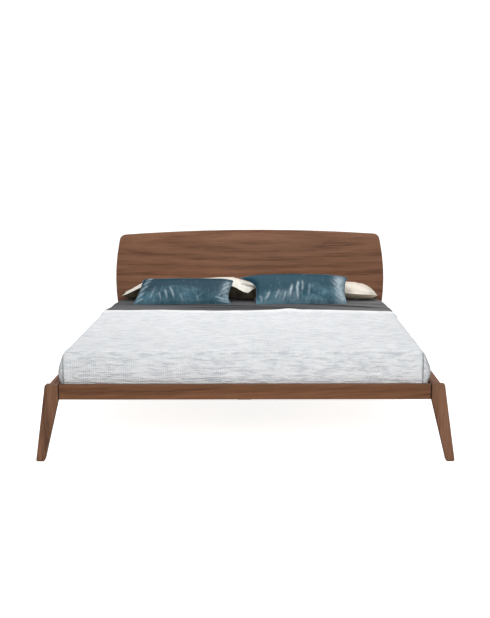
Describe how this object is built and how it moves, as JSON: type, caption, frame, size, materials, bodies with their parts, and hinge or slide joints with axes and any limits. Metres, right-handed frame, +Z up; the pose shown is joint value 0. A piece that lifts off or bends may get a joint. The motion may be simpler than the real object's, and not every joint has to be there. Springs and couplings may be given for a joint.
{
  "type": "sleigh bed",
  "caption": "Low platform bed with a bowed, softly swept headboard, splayed tapered legs, slatted base, mattress, coverlet and pillows.",
  "frame": {"origin": "on the floor, under the middle of the bed's overall length and width", "axes": "+Y from the foot end to the headboard, +X to the right when seen from the foot end, +Z up"},
  "size_m": [2.1112, 2.1504, 1.0085],
  "materials": {
    "walnut": "open-pore satin walnut veneer",
    "slat_wood": "planed beech",
    "black_steel": "black powder coat",
    "zinc_bolt": "zinc plated",
    "felt": "pressed felt",
    "ticking": "knitted ticking",
    "charcoal_cloth": "plain-weave charcoal cotton",
    "white_cloth": "crinkled white cotton",
    "blue_velvet": "short-pile velvet",
    "cream_satin": "champagne satin with fine stripes"
  },
  "bodies": {
    "frame": {"beam_hanger_foot": "black_steel", "beam_hanger_head": "black_steel", "centre_beam": "black_steel", "corner_bracket_foot_left": "black_steel", "corner_bracket_foot_right": "black_steel", "corner_bracket_head_left": "black_steel", "corner_bracket_head_right": "black_steel", "end_bolt_foot_left": "zinc_bolt", "end_bolt_foot_right": "zinc_bolt", "end_bolt_head_left": "zinc_bolt", "end_bolt_head_right": "zinc_bolt", "foot_rail": "walnut", "glide_foot_left": "felt", "glide_foot_right": "felt", "glide_head_left": "felt", "glide_head_right": "felt", "head_rail": "walnut", "headboard_bolt_left_1": "zinc_bolt", "headboard_bolt_left_2": "zinc_bolt", "headboard_bolt_right_1": "zinc_bolt", "headboard_bolt_right_2": "zinc_bolt", "headboard_panel": "walnut", "headboard_upright_left": "walnut", "headboard_upright_right": "walnut", "leg_foot_left": "walnut", "leg_foot_right": "walnut", "leg_head_left": "walnut", "leg_head_right": "walnut", "side_bolt_foot_left": "zinc_bolt", "side_bolt_foot_right": "zinc_bolt", "side_bolt_head_left": "zinc_bolt", "side_bolt_head_right": "zinc_bolt", "side_rail_left": "walnut", "side_rail_right": "walnut", "slat_01": "slat_wood", "slat_02": "slat_wood", "slat_03": "slat_wood", "slat_04": "slat_wood", "slat_05": "slat_wood", "slat_06": "slat_wood", "slat_07": "slat_wood", "slat_08": "slat_wood", "slat_09": "slat_wood", "slat_10": "slat_wood", "slat_11": "slat_wood", "slat_12": "slat_wood", "slat_13": "slat_wood", "slat_ledge_left": "walnut", "slat_ledge_right": "walnut"},
    "mattress": {"mattress": "ticking", "fitted_sheet": "charcoal_cloth", "coverlet": "white_cloth"},
    "pillow_cream_left": {"pillow_cream_left": "cream_satin"},
    "pillow_cream_right": {"pillow_cream_right": "cream_satin"},
    "cushion_blue_left": {"cushion_blue_left": "blue_velvet"},
    "cushion_blue_right": {"cushion_blue_right": "blue_velvet"}
  },
  "joints": [
    {"name": "mattress_lift", "type": "slide", "parent": "frame", "child": "mattress", "axis": [0, 0, 1], "range_m": [0, 0.4]},
    {"name": "cream_left_lift", "type": "slide", "parent": "mattress", "child": "pillow_cream_left", "axis": [0, 0, 1], "range_m": [0, 0.35]},
    {"name": "cream_right_lift", "type": "slide", "parent": "mattress", "child": "pillow_cream_right", "axis": [0, 0, 1], "range_m": [0, 0.35]},
    {"name": "blue_left_lift", "type": "slide", "parent": "pillow_cream_left", "child": "cushion_blue_left", "axis": [0, 0, 1], "range_m": [0, 0.35]},
    {"name": "blue_right_lift", "type": "slide", "parent": "pillow_cream_right", "child": "cushion_blue_right", "axis": [0, 0, 1], "range_m": [0, 0.35]}
  ]
}
